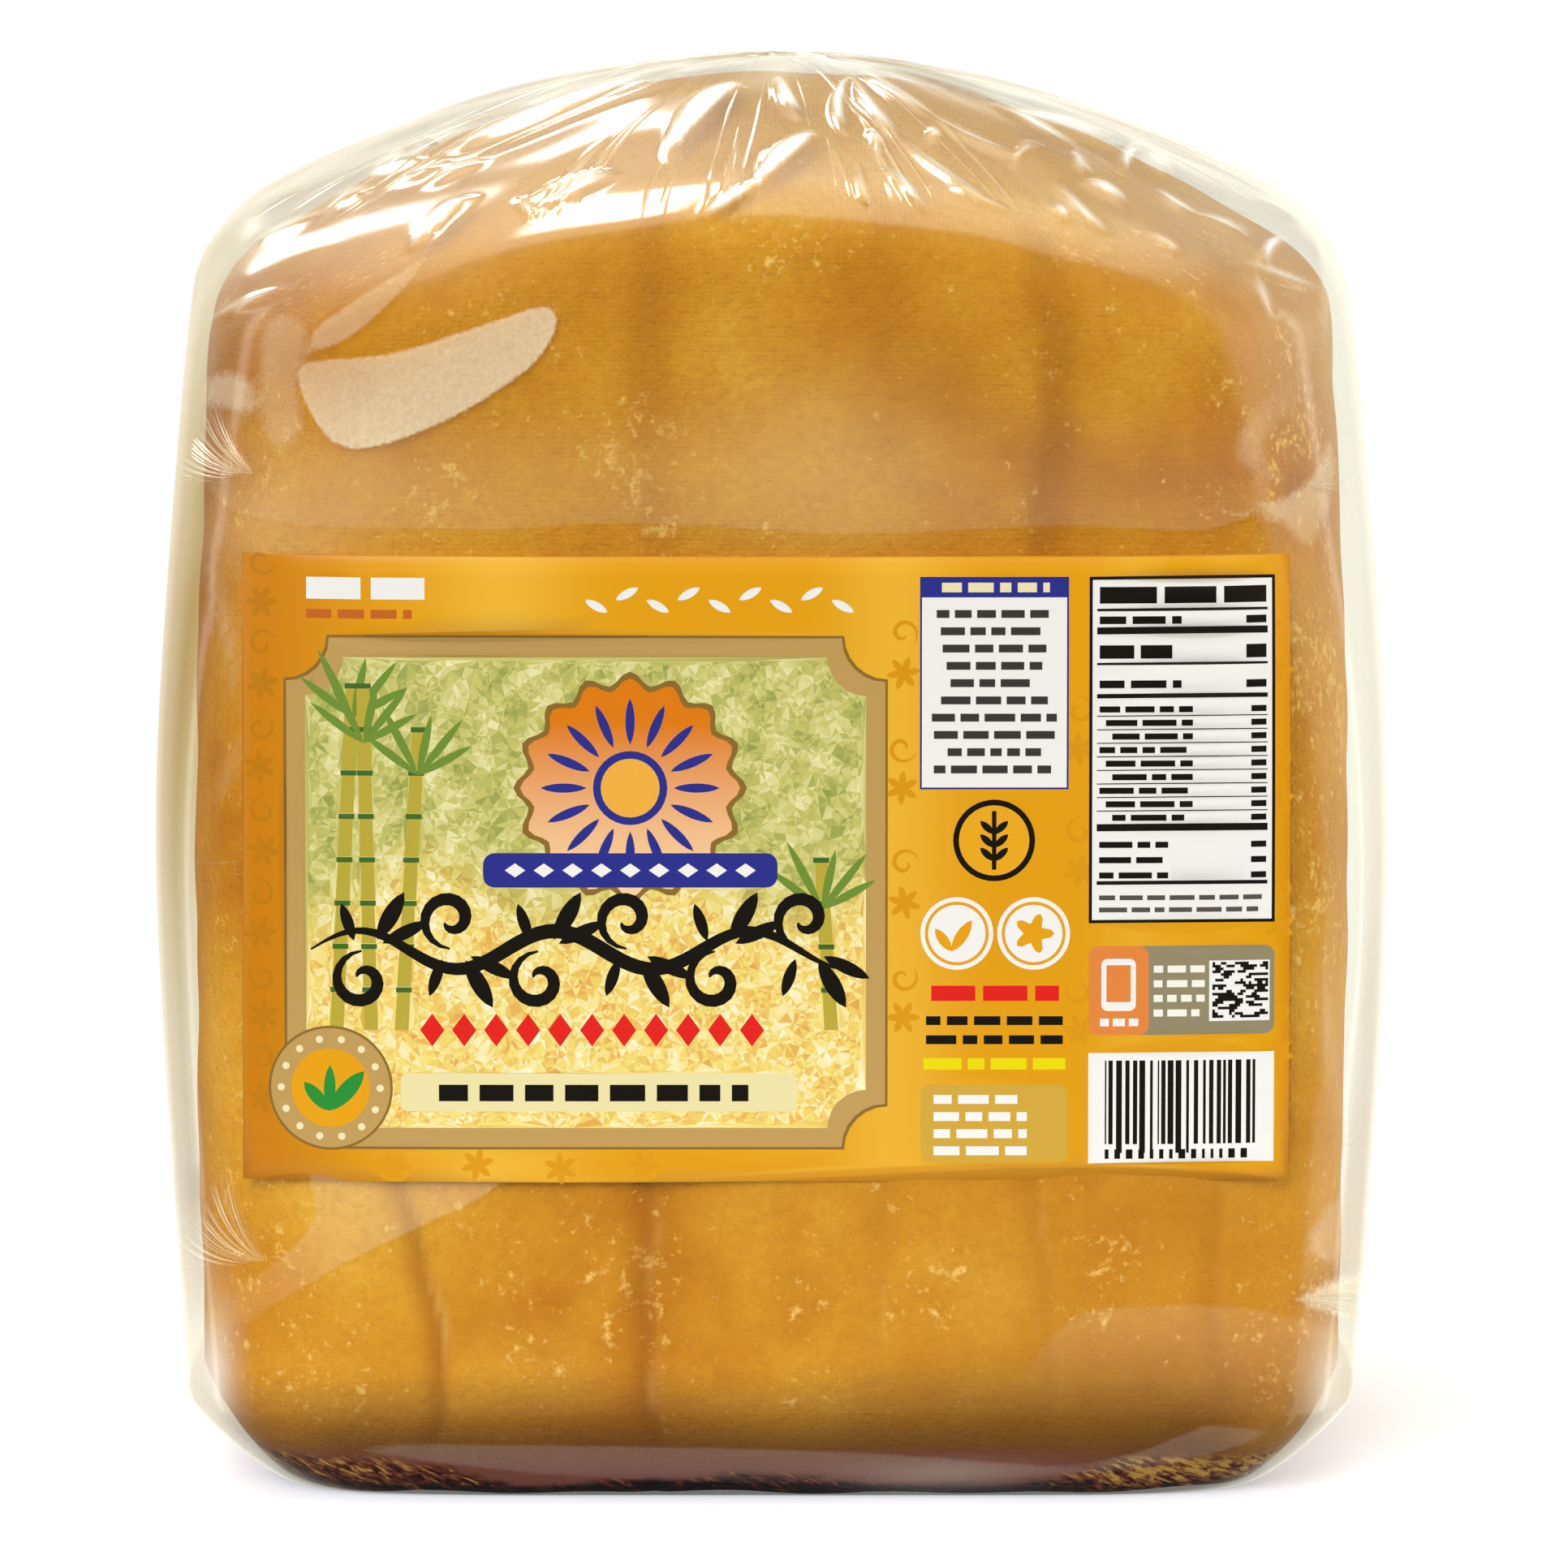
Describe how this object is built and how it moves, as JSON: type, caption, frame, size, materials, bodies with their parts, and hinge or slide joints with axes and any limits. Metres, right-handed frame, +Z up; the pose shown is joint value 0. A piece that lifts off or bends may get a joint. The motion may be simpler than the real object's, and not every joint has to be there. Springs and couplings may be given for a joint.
{
  "type": "wrapped jaggery block",
  "caption": "Dome-topped, cloth-moulded block of golden-brown jaggery sealed in glossy clear film, standing on its flat base, with a wide paper label on the front.",
  "frame": {"origin": "middle of the flat base, on the surface the pack stands on", "axes": "+Z up to the crown of the dome, -Y out of the labelled front, X along the width"},
  "size_m": [0.099, 0.0858, 0.1141],
  "materials": {
    "wrapped_jaggery": "golden-brown jaggery seen through glossy clear film",
    "jaggery": "golden-brown raw cane sugar, close-grained with paler crumbs and a dark underside",
    "wrap_film": "thin clear glossy film with creases",
    "label_paper": "semi-gloss printed paper in golden yellow"
  },
  "bodies": {
    "root": {"wrapped_block": "wrapped_jaggery", "front_label": "label_paper"}
  },
  "joints": []
}
